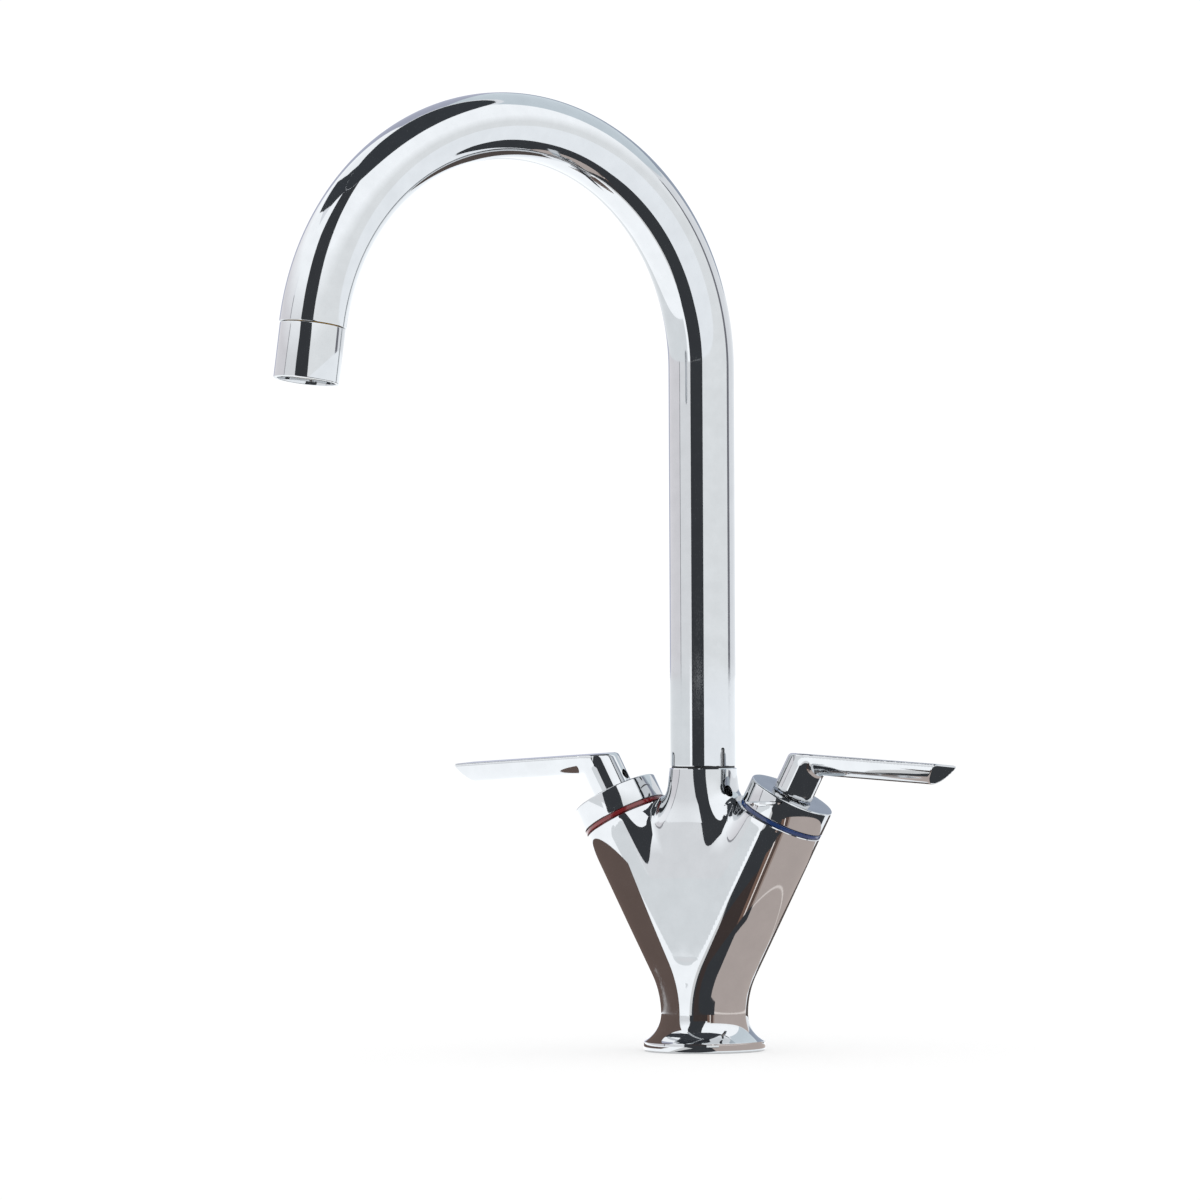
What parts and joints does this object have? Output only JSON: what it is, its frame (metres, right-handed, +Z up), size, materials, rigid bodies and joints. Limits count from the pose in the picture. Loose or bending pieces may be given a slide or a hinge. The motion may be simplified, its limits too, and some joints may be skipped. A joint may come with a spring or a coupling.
{
  "type": "two handle kitchen mixer tap",
  "caption": "Deck mounted kitchen mixer tap with a swan neck swivel spout and a lever handle on each tilted arm of its flared Y shaped body.",
  "frame": {"origin": "centre of the round foot, on the face that rests on the sink deck", "axes": "+Z up, -Y towards the user and the sink, +X towards the cold lever on the user's right"},
  "size_m": [0.2191, 0.2019, 0.376],
  "materials": {
    "chrome_plated_brass": "polished",
    "plain_brass": "machined",
    "stainless_steel": "satin",
    "black_rubber": "matte",
    "white_ceramic": "lapped",
    "white_plastic": "moulded",
    "red_ring": "gloss",
    "blue_ring": "gloss"
  },
  "bodies": {
    "tap_body": {"body": "chrome_plated_brass", "base_seal": "black_rubber", "spout_grub_screw": "stainless_steel", "glide_ring": "white_plastic", "hot_indicator_ring": "red_ring", "hot_cap": "chrome_plated_brass", "hot_headwork": "plain_brass", "hot_seat_seal": "black_rubber", "hot_headwork_seal": "black_rubber", "hot_fixed_disc": "white_ceramic", "cold_indicator_ring": "blue_ring", "cold_cap": "chrome_plated_brass", "cold_headwork": "plain_brass", "cold_seat_seal": "black_rubber", "cold_headwork_seal": "black_rubber", "cold_fixed_disc": "white_ceramic"},
    "hot_handle": {"hot_moving_disc": "white_ceramic", "hot_spindle": "plain_brass", "hot_spindle_seals": "black_rubber", "hot_spindle_clip": "stainless_steel", "hot_lever": "chrome_plated_brass", "hot_lever_screw": "stainless_steel"},
    "cold_handle": {"cold_moving_disc": "white_ceramic", "cold_spindle": "plain_brass", "cold_spindle_seals": "black_rubber", "cold_spindle_clip": "stainless_steel", "cold_lever": "chrome_plated_brass", "cold_lever_screw": "stainless_steel"},
    "swivel_spout": {"spout_tube": "chrome_plated_brass", "spout_nipple": "plain_brass", "spout_seals": "black_rubber", "spout_ferrule": "plain_brass", "aerator_housing": "chrome_plated_brass", "aerator_washer": "black_rubber", "aerator_insert": "white_plastic"}
  },
  "joints": [
    {"name": "spout_swivel", "type": "hinge", "parent": "tap_body", "child": "swivel_spout", "pos_m": [0, 0, 0.112], "axis": [0, 0, 1], "continuous": true},
    {"name": "hot_lever_turn", "type": "hinge", "parent": "tap_body", "child": "hot_handle", "pos_m": [0, 0, 0.0268], "axis": [-0.4587, 0, 0.8886], "range_deg": [0, 90]},
    {"name": "cold_lever_turn", "type": "hinge", "parent": "tap_body", "child": "cold_handle", "pos_m": [0, 0, 0.0268], "axis": [-0.4587, 0, -0.8886], "range_deg": [0, 90]}
  ]
}
